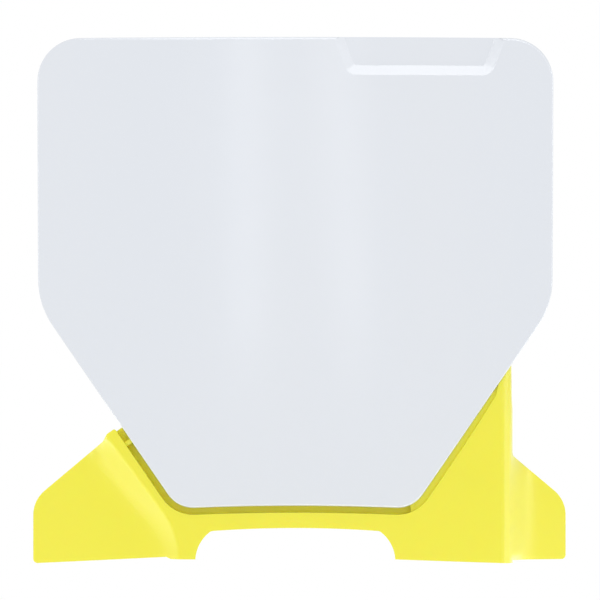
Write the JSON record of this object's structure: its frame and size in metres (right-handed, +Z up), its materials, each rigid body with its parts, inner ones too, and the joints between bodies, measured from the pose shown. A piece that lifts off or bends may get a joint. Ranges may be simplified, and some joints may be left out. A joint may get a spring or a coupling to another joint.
{
  "type": "racing number board",
  "caption": "Crowned front number board for a motocross bike, screwed to a swept lower shroud with wings, a mudguard cut-out and a fixing tab behind.",
  "frame": {"origin": "middle of the fixing screw's hole, in the tab behind the board", "axes": "+Z up along the fixing screw, -Y the way the board faces, +X to the right of someone who looks at its face"},
  "size_m": [0.2501, 0.052, 0.2454],
  "materials": {
    "board_white": "glossy injection-moulded polypropylene",
    "shroud_yellow": "satin injection-moulded polypropylene",
    "screw_steel": "zinc-plated steel"
  },
  "bodies": {
    "root": {"number_board": "board_white", "lower_shroud": "shroud_yellow", "board_screws": "screw_steel"}
  },
  "joints": []
}
